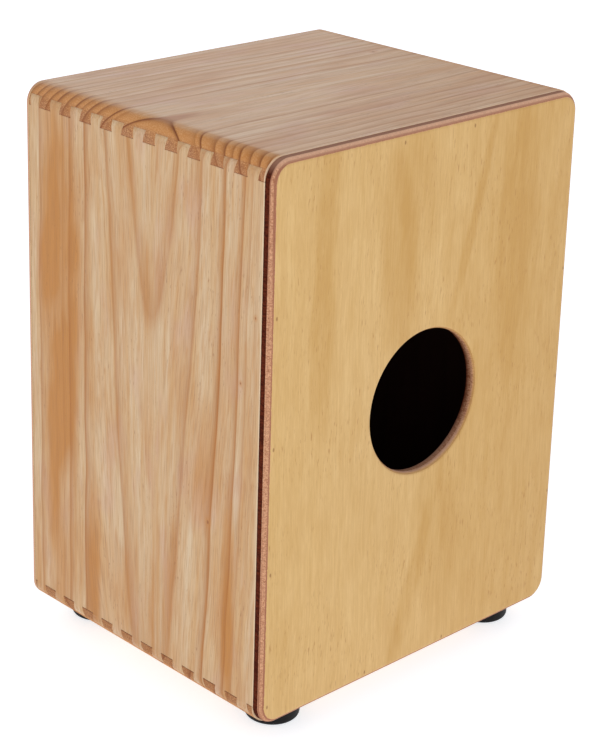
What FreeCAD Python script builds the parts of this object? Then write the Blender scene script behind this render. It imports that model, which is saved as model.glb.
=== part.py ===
import FreeCAD, Part
import Sketcher
import math
import os
import re
from FreeCAD import Placement, Rotation, Vector

# A flamenco cajon: a dovetailed pine box with a plywood striking face (tapa) at -Y, a plywood rear
# panel with a sound hole at +Y, four rubber feet, and four snare strings behind the tapa that are
# tightened with pins reached through the bottom panel.
# Frame: millimetres, +Z up, origin on the floor below the middle of the box.

# alias, value, meaning
DRIVING_SIZES = [
    ("box_width", 300, "over the two side panels"),
    ("box_depth", 255, "over the tapa and the rear panel"),
    ("box_height", 403, "without the feet"),
    ("corner_radius", 14, "the four long corners of the box"),
    ("board", 15, "thickness of seat, bottom and sides"),
    ("tapa_thickness", 3, "striking face"),
    ("tapa_edge_round", 1, "front edge of the striking face"),
    ("rear_thickness", 8, "rear panel"),
    ("rear_corner_radius", 16, "corners of the rear panel, just inside the box's"),
    ("rear_edge_round", 6, "outer edge of the rear panel"),
    ("sound_hole_radius", 52.5, "round hole in the rear panel"),
    ("sound_hole_height", 202.5, "its centre above the underside of the box"),
    ("hole_edge_round", 3, "outer rim of the sound hole"),
    ("lap", 7, "wood left outside the dovetail sockets"),
    ("tail_root", 10, "width of a tail where it leaves its board"),
    ("tail_tip", 12.8, "width of a tail at its end"),
    ("tail_pitch", 22.6, "from tail to tail"),
    ("tail_count", 11, "tails along each corner"),
    ("tail_margin", 7, "front edge of the box to the first tail's centre"),
    ("foot_height", 14, "rubber foot"),
    ("foot_radius", 20, "rubber foot at its top"),
    ("foot_taper", 0.6, "how much narrower the foot is at the floor"),
    ("foot_edge_round", 3.5, "lower edge of the foot"),
    ("foot_inset_side", 39, "foot centre from the box's side"),
    ("foot_inset_end", 29.5, "foot centre from the tapa or rear face"),
    ("foot_recess_radius", 7, "hole that hides the foot's screw head"),
    ("foot_recess_depth", 6, "from the floor up"),
    ("washer_radius", 6, "washer above the foot screw's head"),
    ("washer_thickness", 1, "washer above the foot screw's head"),
    ("foot_screw_radius", 2, "shank of the foot screw"),
    ("foot_screw_head", 3.8, "head radius of the foot screw"),
    ("foot_screw_head_height", 2.6, "domed head of the foot screw"),
    ("foot_screw_length", 18, "under the head"),
    ("tapa_screw_radius", 1.75, "shank of the tapa screw"),
    ("tapa_screw_head", 3.5, "head radius of the tapa screw"),
    ("tapa_screw_length", 20, "over all"),
    ("tapa_screw_rows", 4, "screws along each of the tapa's four edges"),
    ("beam_length", 190, "tuner and anchor beams"),
    ("beam_depth", 34, "front to back"),
    ("beam_thickness", 18, "tuner and anchor beams"),
    ("beam_gap", 20, "between a beam and its panel"),
    ("spacer_length", 20, "block at each end of a beam"),
    ("spacer_setback", 6, "spacers behind the beam's front face"),
    ("beam_screw_radius", 2, "shank of the beam screw"),
    ("beam_screw_head", 4, "head radius of the beam screw"),
    ("beam_screw_length", 46, "over all"),
    ("rod_radius", 2.5, "rods that press the strings on the tapa"),
    ("string_radius", 0.4, "wound steel string"),
    ("string_play", 0.05, "between a string at rest and the tapa"),
    ("string_inner", 36.1, "inner strings from the middle"),
    ("string_outer", 58.1, "outer strings from the middle"),
    ("pin_back", 22, "pin centres behind the rods' centres"),
    ("hitch_radius", 1.5, "shank of a hitch pin"),
    ("hitch_head", 3, "head radius of a hitch pin"),
    ("hitch_height", 7, "hitch pin above its beam"),
    ("hitch_depth", 12, "hitch pin inside its beam"),
    ("string_turns", 4, "turns of string on a tuner pin"),
    ("core_radius", 3.2, "tuner pin where the string winds"),
    ("collar_radius", 5.2, "collars above and below the winding"),
    ("collar_thickness", 1.8, "collars above and below the winding"),
    ("journal_radius", 3.5, "tuner pin in its bush"),
    ("tip_radius", 3, "tuner pin in its beam"),
    ("running_clearance", 0.05, "radial play of a tuner pin"),
    ("end_play", 0.1, "play of a tuner pin along its axis"),
    ("pin_sunk", 2, "tuner pin's lower end above the underside of the box"),
    ("bush_radius", 5.5, "outside of the bush"),
    ("bush_flange", 8, "flange radius of the bush"),
    ("bush_flange_thickness", 1.5, "flange of the bush"),
    ("hex_width", 4, "hex key that fits the tuner pin, across flats"),
    ("hex_depth", 6, "socket in the tuner pin"),
]

doc = FreeCAD.newDocument("Cajon")
sheet = doc.addObject("Spreadsheet::Sheet", "Sizes")
for row, (alias, value, meaning) in enumerate(DRIVING_SIZES, start=1):
    sheet.set(f"A{row}", meaning)
    sheet.set(f"B{row}", str(value))
    sheet.setAlias(f"B{row}", alias)
doc.recompute()

ALIASES = {alias for alias, value, meaning in DRIVING_SIZES}

# Heights and depths that many pieces share, as formulas on the sheet.
BOX_MIDDLE = "(foot_height + box_height / 2)"
SEAT_UNDERSIDE = "(foot_height + box_height - board)"
PANEL_TOP = "(foot_height + board)"
CARCASS_FRONT = "(tapa_thickness - box_depth / 2)"
CARCASS_DEPTH = "(box_depth - tapa_thickness - rear_thickness)"
ROD_Y = f"({CARCASS_FRONT} + string_play + 2 * string_radius + rod_radius)"
PIN_Y = f"({ROD_Y} + pin_back)"
BEAM_UNDERSIDE = f"({PANEL_TOP} + beam_gap)"
ANCHOR_TOP = f"({SEAT_UNDERSIDE} - beam_gap)"
STRING_RUN = f"({BEAM_UNDERSIDE} - rod_radius - string_radius)"

sub_parts = []


# ---------------------------------------------------------------- helpers

def formula(text):
    """Write the sheet's name before each of its aliases."""
    def with_sheet(match):
        word = match.group()
        return f"Sizes.{word}" if word in ALIASES else word
    return re.sub(r"[a-z_]+", with_sheet, str(text))


def size(text):
    """The value of a formula, in millimetres."""
    return float(sheet.evalExpression(formula(text)))


def bind(thing, formulas):
    """Tie properties of a document object to formulas on the sheet."""
    for name, text in formulas.items():
        thing.setExpression(name, formula(text))


def place(thing, x="0", y="0", z="0"):
    """Tie an object's position to formulas on the sheet."""
    bind(thing, {"Placement.Base.x": x, "Placement.Base.y": y, "Placement.Base.z": z})


def finish(thing, label):
    """Give a finished sub-part its label and list it for export."""
    thing.Label = label
    sub_parts.append(thing)
    return thing


def new_body(name):
    """An empty PartDesign body."""
    return doc.addObject("PartDesign::Body", name)


def origin_feature(body, role):
    """One of the body's own base planes or axes."""
    return next(item for item in body.Origin.OriginFeatures if item.Role == role)


def new_sketch(body, name, plane):
    """A sketch on one of the body's base planes."""
    sketch = body.newObject("Sketcher::SketchObject", name)
    sketch.AttachmentSupport = [(origin_feature(body, plane), "")]
    sketch.MapMode = "FlatFace"
    return sketch


def pin_point(sketch, geometry, vertex, across, up):
    """Hold a sketch point at two formulas measured from the sketch's origin."""
    for kind, text in (("DistanceX", across), ("DistanceY", up)):
        constraint = Sketcher.Constraint(kind, -1, 1, geometry, vertex, size(text))
        index = sketch.addConstraint(constraint)
        sketch.setExpression(f"Constraints[{index}]", formula(text))


def draw_polygon(sketch, corners):
    """Add a closed outline of straight edges through corners given as pairs of formulas."""
    points = [Vector(size(across), size(up), 0) for across, up in corners]
    first = sketch.GeometryCount
    count = len(points)
    for index in range(count):
        sketch.addGeometry(Part.LineSegment(points[index], points[(index + 1) % count]), False)
    for index in range(count):
        follower = first + (index + 1) % count
        sketch.addConstraint(Sketcher.Constraint("Coincident", first + index, 2, follower, 1))
    for index, (across, up) in enumerate(corners):
        pin_point(sketch, first + index, 1, across, up)


def draw_circle(sketch, across, up, radius):
    """Add a circle whose centre and radius are formulas."""
    centre = Vector(size(across), size(up), 0)
    circle = sketch.addGeometry(Part.Circle(centre, Vector(0, 0, 1), size(radius)), False)
    pin_point(sketch, circle, 3, across, up)
    index = sketch.addConstraint(Sketcher.Constraint("Radius", circle, size(radius)))
    sketch.setExpression(f"Constraints[{index}]", formula(radius))


def pad(body, sketch, length, reverse=False):
    """Raise a sketch into a solid."""
    feature = body.newObject("PartDesign::Pad", sketch.Name + "_pad")
    feature.Profile = sketch
    feature.Reversed = reverse
    bind(feature, {"Length": length})
    doc.recompute()
    return feature


def pocket(body, sketch, depth, reverse=False):
    """Cut a sketch into the solid, and check that it removed something."""
    volume_before = body.Shape.Volume
    feature = body.newObject("PartDesign::Pocket", sketch.Name + "_pocket")
    feature.Profile = sketch
    feature.Reversed = reverse
    bind(feature, {"Length": depth})
    doc.recompute()
    if body.Shape.Volume > volume_before - 0.01:
        raise RuntimeError(f"{feature.Name} cuts nothing")
    return feature


def fillet(body, name, radius, is_wanted):
    """Round every edge of the body that is_wanted picks."""
    base = body.Tip
    edges = [f"Edge{number}" for number, edge in enumerate(base.Shape.Edges, start=1) if is_wanted(edge)]
    feature = body.newObject("PartDesign::Fillet", name)
    feature.Base = (base, edges)
    bind(feature, {"Radius": radius})
    doc.recompute()
    return feature


def turned_body(name, profile):
    """A body turned about its vertical axis from (radius, height) corners given as formulas."""
    body = new_body(name)
    sketch = new_sketch(body, name + "_profile", "XZ_Plane")
    draw_polygon(sketch, profile)
    turned = body.newObject("PartDesign::Revolution", name + "_turned")
    turned.Profile = sketch
    turned.ReferenceAxis = (sketch, ["V_Axis"])
    turned.Angle = 360
    doc.recompute()
    return body


def cut_by(base, tools, label):
    """Cut one tool after another from a base; the last cut is a finished sub-part."""
    for number, tool in enumerate(tools, start=1):
        cut = doc.addObject("Part::Cut", f"{label}_cut_{number}")
        cut.Base = base
        cut.Tool = tool
        base = cut
    doc.recompute()
    return finish(base, label)


def group_of(name, master, placements):
    """Copies of one solid as a single object of separate solids."""
    group = doc.addObject("Part::Feature", name)
    copies = []
    for spot in placements:
        copy = master.Shape.copy()
        copy.Placement = spot.multiply(master.Shape.Placement)
        copies.append(copy)
    group.Shape = Part.makeCompound(copies)
    return group


def is_long_edge(edge):
    """True for a straight edge that runs front to back."""
    if not isinstance(edge.Curve, Part.Line):
        return False
    return abs(edge.Curve.Direction.y) > 0.99


# ---------------------------------------------------------------- box outline

def outline_body(name, thickness, corner, towards_rear):
    """A plate as wide and high as the box, rounded at its four corners, centred on its origin."""
    body = new_body(name)
    sketch = new_sketch(body, name + "_outline", "XZ_Plane")
    half_wide, half_high = "box_width / 2", "box_height / 2"
    draw_polygon(sketch, [(f"-{half_wide}", f"-{half_high}"), (half_wide, f"-{half_high}"),
                          (half_wide, half_high), (f"-{half_wide}", half_high)])
    pad(body, sketch, thickness, reverse=towards_rear)
    fillet(body, name + "_corners", corner, is_long_edge)
    return body


carcass_outline = outline_body("carcass_outline", CARCASS_DEPTH, "corner_radius", towards_rear=True)
place(carcass_outline, y=CARCASS_FRONT, z=BOX_MIDDLE)


# ---------------------------------------------------------------- screws

def screw_master(name, shank, head, length, recess_depth):
    """A countersunk wood screw with its flat face up at height 0: as a plain blank, and with its recess."""
    head_height = f"({head} - {shank})"
    profile = [("0", "0"), (head, "0"), (shank, f"-{head_height}"), (shank, f"2 * {shank} - {length}"),
               ("0", f"-{length}")]
    blank = turned_body(name + "_blank", profile)
    finished = turned_body(name + "_finished", profile)
    cut_cross_recess(finished, name, head, recess_depth)
    return blank, finished


def cut_cross_recess(body, name, head, depth, face="0", face_down=False):
    """Cut a cross recess into a screw head whose outer face is at a height on the body's axis."""
    arm = 0.6 * size(head)
    half_slot = 0.14 * size(head)
    sketch = new_sketch(body, name + "_recess", "XY_Plane")
    sketch.AttachmentOffset = Placement(Vector(0, 0, size(face)), Rotation())
    corners = []
    for quarter in range(4):
        turn = Rotation(Vector(0, 0, 1), 90 * quarter)
        for spot in (Vector(arm, -half_slot, 0), Vector(arm, half_slot, 0), Vector(half_slot, half_slot, 0)):
            corner = turn.multVec(spot)
            corners.append((f"{corner.x:.4f}", f"{corner.y:.4f}"))
    draw_polygon(sketch, corners)
    pocket(body, sketch, depth, reverse=face_down)


def tapa_screw_places():
    """Screws round the tapa, in the middle of each board's edge and evenly spread along it."""
    half_wide = size("box_width / 2 - board / 2")
    half_high = size("box_height / 2 - board / 2")
    middle = size(BOX_MIDDLE)
    face = size("-box_depth / 2")
    into_box = Rotation(Vector(1, 0, 0), 90)
    rows = int(size("tapa_screw_rows"))
    spots = []
    for number in range(rows):
        along = (number + 0.5) / rows - 0.5
        for side in (-1, 1):
            spots.append(Vector(along * size("box_width"), face, middle + side * half_high))
            spots.append(Vector(side * half_wide, face, middle + along * size("box_height")))
    return [Placement(spot, into_box) for spot in spots]


tapa_screw_blank, tapa_screw_finished = screw_master(
    "tapa_screw", "tapa_screw_radius", "tapa_screw_head", "tapa_screw_length", "1.5")
tapa_screw_holes = group_of("tapa_screw_holes", tapa_screw_blank, tapa_screw_places())
finish(group_of("tapa_screw_group", tapa_screw_finished, tapa_screw_places()), "tapa_screws")


def foot_spots():
    """The four foot centres as (name, x formula, y formula)."""
    spots = []
    for end, end_sign in (("front", "-"), ("rear", "")):
        for side, side_sign in (("left", "-"), ("right", "")):
            x = f"{side_sign}(box_width / 2 - foot_inset_side)"
            y = f"{end_sign}(box_depth / 2 - foot_inset_end)"
            spots.append((f"{end}_{side}", x, y))
    return spots


def placed_on_feet(height):
    """Placements above each foot's centre at one height."""
    return [Placement(Vector(size(x), size(y), size(height)), Rotation()) for name, x, y in foot_spots()]


foot_screw_profile = [
    ("0", "-foot_screw_head_height"), ("0.6 * foot_screw_head", "-foot_screw_head_height"),
    ("0.95 * foot_screw_head", "-foot_screw_head_height / 2"), ("foot_screw_head", "0"),
    ("foot_screw_radius", "0"), ("foot_screw_radius", "foot_screw_length - 2 * foot_screw_radius"),
    ("0", "foot_screw_length"),
]
foot_screw_blank = turned_body("foot_screw_blank", foot_screw_profile)
foot_screw_finished = turned_body("foot_screw_finished", foot_screw_profile)
cut_cross_recess(foot_screw_finished, "foot_screw", "foot_screw_head", "1.5",
                 face="-foot_screw_head_height", face_down=True)
foot_screw_places = placed_on_feet("foot_recess_depth")
foot_screw_holes = group_of("foot_screw_holes", foot_screw_blank, foot_screw_places)
finish(group_of("foot_screw_group", foot_screw_finished, foot_screw_places), "foot_screws")


def beam_screw_places(height, turn):
    """Two screws through the spacers of a beam, from its face at one height."""
    reach = size("beam_length / 2 - spacer_length / 2")
    middle_y = size(f"{ROD_Y} + beam_depth / 2")
    return [Placement(Vector(side * reach, middle_y, size(height)), turn) for side in (-1, 1)]


head_up = Rotation()
head_down = Rotation(Vector(1, 0, 0), 180)
beam_screw_blank, beam_screw_finished = screw_master(
    "beam_screw", "beam_screw_radius", "beam_screw_head", "beam_screw_length", "2")
tuner_screw_places = beam_screw_places(f"{BEAM_UNDERSIDE} + beam_thickness", head_up)
anchor_screw_places = beam_screw_places(f"{ANCHOR_TOP} - beam_thickness", head_down)
tuner_screw_holes = group_of("tuner_screw_holes", beam_screw_blank, tuner_screw_places)
anchor_screw_holes = group_of("anchor_screw_holes", beam_screw_blank, anchor_screw_places)
finish(group_of("tuner_screw_group", beam_screw_finished, tuner_screw_places), "tuner_beam_screws")
finish(group_of("anchor_screw_group", beam_screw_finished, anchor_screw_places), "anchor_beam_screws")


# ---------------------------------------------------------------- tuner pins and bushes

def string_spots():
    """Strings as (name, x formula, sign of the side that their pins stand on)."""
    return [("left_outer", "-string_outer", "-"), ("left_inner", "-string_inner", "-"),
            ("right_inner", "string_inner", "+"), ("right_outer", "string_outer", "+")]


def tuner_x(string_x, sign):
    """A tuner pin's centre, so that the string meets its winding side on."""
    return f"({string_x} {sign} (core_radius + string_radius))"


def hitch_x(string_x, sign):
    """A hitch pin's centre, so that the string's loop runs round it."""
    return f"({string_x} {sign} (hitch_radius + string_radius))"


PIN_FOOT = "(foot_height + pin_sunk)"
LOWER_COLLAR = f"({PANEL_TOP} + bush_flange_thickness + end_play)"
LOWER_COLLAR_TOP = f"({LOWER_COLLAR} + collar_thickness)"
UPPER_COLLAR_TOP = f"({BEAM_UNDERSIDE} - end_play)"
UPPER_COLLAR = f"({UPPER_COLLAR_TOP} - collar_thickness)"
TIP_TOP = f"({BEAM_UNDERSIDE} + 0.8 * beam_thickness)"


def make_bush(name, x):
    """A flanged brass bush, pressed into the bottom panel from inside the box."""
    bore = "journal_radius + running_clearance"
    body = turned_body(f"tuner_bush_{name}", [
        (bore, "foot_height"), ("bush_radius", "foot_height"), ("bush_radius", PANEL_TOP),
        ("bush_flange", PANEL_TOP), ("bush_flange", f"{PANEL_TOP} + bush_flange_thickness"),
        (bore, f"{PANEL_TOP} + bush_flange_thickness")])
    place(body, x=x, y=PIN_Y)
    return finish(body, f"tuner_bush_{name}")


def make_tuner_pin(name, x):
    """A spool-shaped steel pin: journal, two collars round the winding core, tip and hex socket."""
    chamfer = 0.5
    body = turned_body(f"tuner_pin_{name}", [
        ("0", PIN_FOOT), (f"journal_radius - {chamfer}", PIN_FOOT),
        ("journal_radius", f"{PIN_FOOT} + {chamfer}"), ("journal_radius", LOWER_COLLAR),
        ("collar_radius", LOWER_COLLAR),
        ("collar_radius", LOWER_COLLAR_TOP), ("core_radius", LOWER_COLLAR_TOP),
        ("core_radius", UPPER_COLLAR), ("collar_radius", UPPER_COLLAR),
        ("collar_radius", UPPER_COLLAR_TOP), ("tip_radius", UPPER_COLLAR_TOP),
        ("tip_radius", f"{TIP_TOP} - {chamfer}"), (f"tip_radius - {chamfer}", TIP_TOP), ("0", TIP_TOP)])
    socket = new_sketch(body, f"hex_socket_{name}", "XY_Plane")
    socket.AttachmentOffset = Placement(Vector(0, 0, size(PIN_FOOT)), Rotation())
    corner = "hex_width / sqrt(3)"
    draw_polygon(socket, [
        (f"{corner} * cos({60 * step} deg)", f"{corner} * sin({60 * step} deg)") for step in range(6)])
    pocket(body, socket, "hex_depth", reverse=True)
    place(body, x=x, y=PIN_Y)
    return finish(body, f"tuner_pin_{name}")


for string_name, string_x, sign in string_spots():
    pin_x = tuner_x(string_x, sign)
    make_bush(string_name, pin_x)
    make_tuner_pin(string_name, pin_x)


# ---------------------------------------------------------------- hitch pins and rods

hitch_master = turned_body("hitch_master", [
    ("0", "-hitch_depth"), ("hitch_radius", "hitch_radius - hitch_depth"),
    ("hitch_radius", "0.8 * hitch_height"), ("hitch_head", "0.8 * hitch_height"),
    ("hitch_head", "0.9 * hitch_height"), ("0.8 * hitch_head", "hitch_height"), ("0", "hitch_height")])
hitch_places = [
    Placement(Vector(size(hitch_x(string_x, sign)), size(PIN_Y), size(ANCHOR_TOP)), Rotation())
    for string_name, string_x, sign in string_spots()]
hitch_pins = finish(group_of("hitch_group", hitch_master, hitch_places), "hitch_pins")


def make_rod(label, height):
    """A brass rod along a beam's front corner, which turns the strings and presses them on the tapa."""
    rod = doc.addObject("Part::Cylinder", label)
    rod.Placement = Placement(Vector(), Rotation(Vector(0, 1, 0), 90))
    bind(rod, {"Radius": "rod_radius", "Height": "beam_length"})
    place(rod, x="-beam_length / 2", y=ROD_Y, z=height)
    return finish(rod, label)


lower_rod = make_rod("lower_string_rod", BEAM_UNDERSIDE)
upper_rod = make_rod("upper_string_rod", ANCHOR_TOP)


# ---------------------------------------------------------------- beams and their spacers

def block(name, width, depth, height, x, y, z):
    """A box of wood with its low corner at x, y, z."""
    box = doc.addObject("Part::Box", name)
    bind(box, {"Length": width, "Width": depth, "Height": height})
    place(box, x, y, z)
    return box


def beam_block(name, z):
    """The blank of a string beam, with its front face over the rod's centre line."""
    return block(name, "beam_length", "beam_depth", "beam_thickness", "-beam_length / 2", ROD_Y, z)


def make_spacers(kind, z, screws):
    """The two blocks that hold a beam off its panel."""
    for side, x in (("left", "-beam_length / 2"), ("right", "beam_length / 2 - spacer_length")):
        name = f"{kind}_beam_spacer_{side}"
        blank = block(name + "_blank", "spacer_length", "beam_depth - spacer_setback", "beam_gap",
                      x, f"{ROD_Y} + spacer_setback", z)
        cut_by(blank, [screws], name)


tuner_bores = doc.addObject("Part::Feature", "tuner_bores")
tuner_bores.Shape = Part.makeCompound([
    Part.makeCylinder(size("tip_radius + running_clearance"), size("beam_thickness"),
                      Vector(size(tuner_x(string_x, sign)), size(PIN_Y), size(BEAM_UNDERSIDE)))
    for string_name, string_x, sign in string_spots()])
cut_by(beam_block("tuner_beam_blank", BEAM_UNDERSIDE),
       [lower_rod, tuner_screw_holes, tuner_bores], "tuner_beam")
cut_by(beam_block("anchor_beam_blank", f"{ANCHOR_TOP} - beam_thickness"),
       [upper_rod, anchor_screw_holes, hitch_pins], "anchor_beam")
make_spacers("tuner", PANEL_TOP, tuner_screw_holes)
make_spacers("anchor", ANCHOR_TOP, anchor_screw_holes)


# ---------------------------------------------------------------- strings

def string_path(x, sign):
    """Centre line of a string: from its tuner pin, round both rods, to a loop round its hitch pin."""
    turn_radius = size("rod_radius + string_radius")
    rod_y, pin_y = size(ROD_Y), size(PIN_Y)
    low, high = size(BEAM_UNDERSIDE), size(ANCHOR_TOP)
    loop_radius = size("hitch_radius + string_radius")
    slant = turn_radius * math.sqrt(0.5)

    def point(y, z):
        return Vector(x, y, z)

    lower_run = Part.LineSegment(point(pin_y, low - turn_radius), point(rod_y, low - turn_radius))
    lower_turn = Part.Arc(point(rod_y, low - turn_radius), point(rod_y - slant, low - slant),
                          point(rod_y - turn_radius, low))
    playing_length = Part.LineSegment(point(rod_y - turn_radius, low), point(rod_y - turn_radius, high))
    upper_turn = Part.Arc(point(rod_y - turn_radius, high), point(rod_y - slant, high + slant),
                          point(rod_y, high + turn_radius))
    upper_run = Part.LineSegment(point(rod_y, high + turn_radius), point(pin_y, high + turn_radius))
    centre = Vector(x + sign * loop_radius, pin_y, high + turn_radius)
    opposite = centre + Vector(sign * loop_radius, 0, 0)
    loop = Part.Arc(point(pin_y, high + turn_radius), centre + Vector(0, loop_radius, 0), opposite)
    pieces = (lower_run, lower_turn, playing_length, upper_turn, upper_run, loop)
    return Part.Wire([piece.toShape() for piece in pieces])


def sweep_round(path, start, direction, radius):
    """A round bar along a path, with its volume checked against section times length."""
    section = Part.Wire(Part.makeCircle(radius, start, direction))
    bar = path.makePipeShell([section], True, False)
    expected = math.pi * radius ** 2 * path.Length
    if abs(bar.Volume - expected) > 0.02 * expected:
        raise RuntimeError("a string's volume doesn't match its length")
    return bar


def make_winding(x, sign):
    """The turns of string on a tuner pin's core, just below the string's own run."""
    radius = size("string_radius")
    turns = size("string_turns")
    clearance = 0.3
    pitch = 2.2 * radius
    top = size(STRING_RUN) - 2 * radius - clearance
    winding_radius = size("core_radius") + radius + 0.01
    helix = Part.makeHelix(pitch, pitch * turns, winding_radius)
    section = Part.Wire(Part.makeCircle(radius, Vector(winding_radius, 0, 0), Vector(0, 1, 0)))
    coil = Part.Wire(helix.Edges).makePipeShell([section], True, True)
    coil.translate(Vector(0, 0, top - pitch * turns))
    if sign < 0:
        coil = coil.mirror(Vector(), Vector(1, 0, 0))
    coil.translate(Vector(x, size(PIN_Y), 0))
    return coil


for string_name, string_x, sign_text in string_spots():
    sign = 1 if sign_text == "+" else -1
    x = size(string_x)
    string = doc.addObject("Part::Feature", f"string_{string_name}")
    string_start = Vector(x, size(PIN_Y), size(STRING_RUN))
    string.Shape = sweep_round(string_path(x, sign), string_start, Vector(0, 1, 0), size("string_radius"))
    finish(string, f"string_{string_name}")
    winding = doc.addObject("Part::Feature", f"winding_{string_name}")
    winding.Shape = make_winding(size(tuner_x(string_x, sign_text)), sign)
    finish(winding, f"string_winding_{string_name}")


# ---------------------------------------------------------------- box panels

def side_blank(name, x):
    """A side panel with tails at both ends, not yet rounded at the box's corners."""
    body = new_body(name)
    panel = new_sketch(body, name + "_panel", "YZ_Plane")
    half_deep, half_high = f"{CARCASS_DEPTH} / 2", "(box_height / 2 - board)"
    draw_polygon(panel, [(f"-{half_deep}", f"-{half_high}"), (half_deep, f"-{half_high}"),
                         (half_deep, half_high), (f"-{half_deep}", half_high)])
    pad(body, panel, "board")
    tails = new_sketch(body, name + "_tails", "YZ_Plane")
    centre = f"(tail_margin - {half_deep})"
    for end in ("", "-"):
        root, tip = f"{end}{half_high}", f"{end}(box_height / 2 - lap)"
        draw_polygon(tails, [
            (f"{centre} - tail_root / 2", root), (f"{centre} + tail_root / 2", root),
            (f"{centre} + tail_tip / 2", tip), (f"{centre} - tail_tip / 2", tip)])
    first_tails = pad(body, tails, "board")
    tail_rows = body.newObject("PartDesign::LinearPattern", name + "_tail_rows")
    tail_rows.Originals = [first_tails]
    tail_rows.Direction = (origin_feature(body, "Y_Axis"), [""])
    tail_rows.Mode = "Spacing"
    bind(tail_rows, {"Offset": "tail_pitch", "Occurrences": "tail_count"})
    body.Tip = tail_rows
    place(body, x=x, y=f"{CARCASS_FRONT} + {half_deep}", z=BOX_MIDDLE)
    doc.recompute()
    return body


def rounded_board(name, blank):
    """What is left of a board inside the rounded outline of the box."""
    rounded = doc.addObject("Part::Common", name + "_rounded")
    rounded.Base = blank
    rounded.Tool = carcass_outline
    return rounded


left_blank = side_blank("left_blank", "-box_width / 2")
right_blank = side_blank("right_blank", "box_width / 2 - board")
cut_by(rounded_board("side_left", left_blank), [tapa_screw_holes], "side_panel_left")
cut_by(rounded_board("side_right", right_blank), [tapa_screw_holes], "side_panel_right")

seat_blank = block("seat_blank", "box_width", CARCASS_DEPTH, "board",
                   "-box_width / 2", CARCASS_FRONT, SEAT_UNDERSIDE)
cut_by(rounded_board("seat", seat_blank),
       [left_blank, right_blank, tapa_screw_holes, anchor_screw_holes], "seat_panel")

bush_seats = doc.addObject("Part::Feature", "bush_seats")
bush_seats.Shape = Part.makeCompound([
    Part.makeCylinder(size("bush_radius"), size("board"),
                      Vector(size(tuner_x(string_x, sign)), size(PIN_Y), size("foot_height")))
    for string_name, string_x, sign in string_spots()])
bottom_blank = block("bottom_blank", "box_width", CARCASS_DEPTH, "board",
                     "-box_width / 2", CARCASS_FRONT, "foot_height")
cut_by(rounded_board("bottom", bottom_blank),
       [left_blank, right_blank, tapa_screw_holes, foot_screw_holes, tuner_screw_holes, bush_seats],
       "bottom_panel")


# ---------------------------------------------------------------- tapa and rear panel

def is_outer_rim(face_y):
    """A test for edges that lie in the plane y = face_y of a body."""
    return lambda edge: all(abs(vertex.Y - face_y) < 1e-6 for vertex in edge.Vertexes)


tapa_blank = outline_body("tapa_blank", "tapa_thickness", "corner_radius", towards_rear=False)
fillet(tapa_blank, "tapa_edge", "tapa_edge_round", is_outer_rim(-size("tapa_thickness")))
place(tapa_blank, y=CARCASS_FRONT, z=BOX_MIDDLE)
cut_by(tapa_blank, [tapa_screw_holes], "tapa")

rear_panel = outline_body("rear_panel", "rear_thickness", "rear_corner_radius", towards_rear=True)
fillet(rear_panel, "rear_edge", "rear_edge_round", is_outer_rim(size("rear_thickness")))
sound_hole = new_sketch(rear_panel, "sound_hole", "XZ_Plane")
draw_circle(sound_hole, "0", "sound_hole_height - box_height / 2", "sound_hole_radius")
pocket(rear_panel, sound_hole, "rear_thickness")
hole_rim_test = is_outer_rim(size("rear_thickness"))
fillet(rear_panel, "hole_rim", "hole_edge_round",
       lambda edge: hole_rim_test(edge) and isinstance(edge.Curve, Part.Circle)
       and abs(edge.Curve.Radius - size("sound_hole_radius")) < 1e-6)
place(rear_panel, y=f"{CARCASS_FRONT} + {CARCASS_DEPTH}", z=BOX_MIDDLE)
finish(rear_panel, "rear_panel")


# ---------------------------------------------------------------- feet

def make_foot(name, x, y):
    """A rubber foot, slightly tapered, with a recess that hides its screw and washer."""
    foot = turned_body(f"foot_{name}", [
        ("foot_recess_radius", "0"), ("foot_radius - foot_taper", "0"), ("foot_radius", "foot_height"),
        ("foot_screw_radius", "foot_height"), ("foot_screw_radius", "foot_recess_depth + washer_thickness"),
        ("foot_recess_radius", "foot_recess_depth + washer_thickness")])
    lower_radius = size("foot_radius - foot_taper")
    fillet(foot, f"foot_{name}_edge", "foot_edge_round",
           lambda edge: isinstance(edge.Curve, Part.Circle)
           and abs(edge.Curve.Radius - lower_radius) < 1e-6)
    place(foot, x=x, y=y)
    return finish(foot, f"foot_{name}")


for foot_name, foot_x, foot_y in foot_spots():
    make_foot(foot_name, foot_x, foot_y)

washer_master = turned_body("washer_master", [
    ("foot_screw_radius", "0"), ("washer_radius", "0"), ("washer_radius", "washer_thickness"),
    ("foot_screw_radius", "washer_thickness")])
finish(group_of("washer_group", washer_master, foot_screw_places), "foot_washers")


# ---------------------------------------------------------------- checks and export

doc.recompute()
for thing in doc.Objects:
    if "Invalid" in thing.State or "Error" in thing.State:
        raise RuntimeError(f"{thing.Name} failed: {thing.State}")
for thing in sub_parts:
    if thing.Shape.isNull() or not thing.Shape.isValid():
        raise RuntimeError(f"{thing.Label} has no valid shape")

os.makedirs("parts", exist_ok=True)
for thing in sub_parts:
    thing.Shape.exportStep(f"parts/{thing.Label}.step")
    bounds = thing.Shape.BoundBox
    print(f"{thing.Label}: {len(thing.Shape.Solids)} solids, volume {thing.Shape.Volume:.0f} mm3, "
          f"z {bounds.ZMin:.1f} to {bounds.ZMax:.1f}")
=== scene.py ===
import math
from typing import NamedTuple

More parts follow.
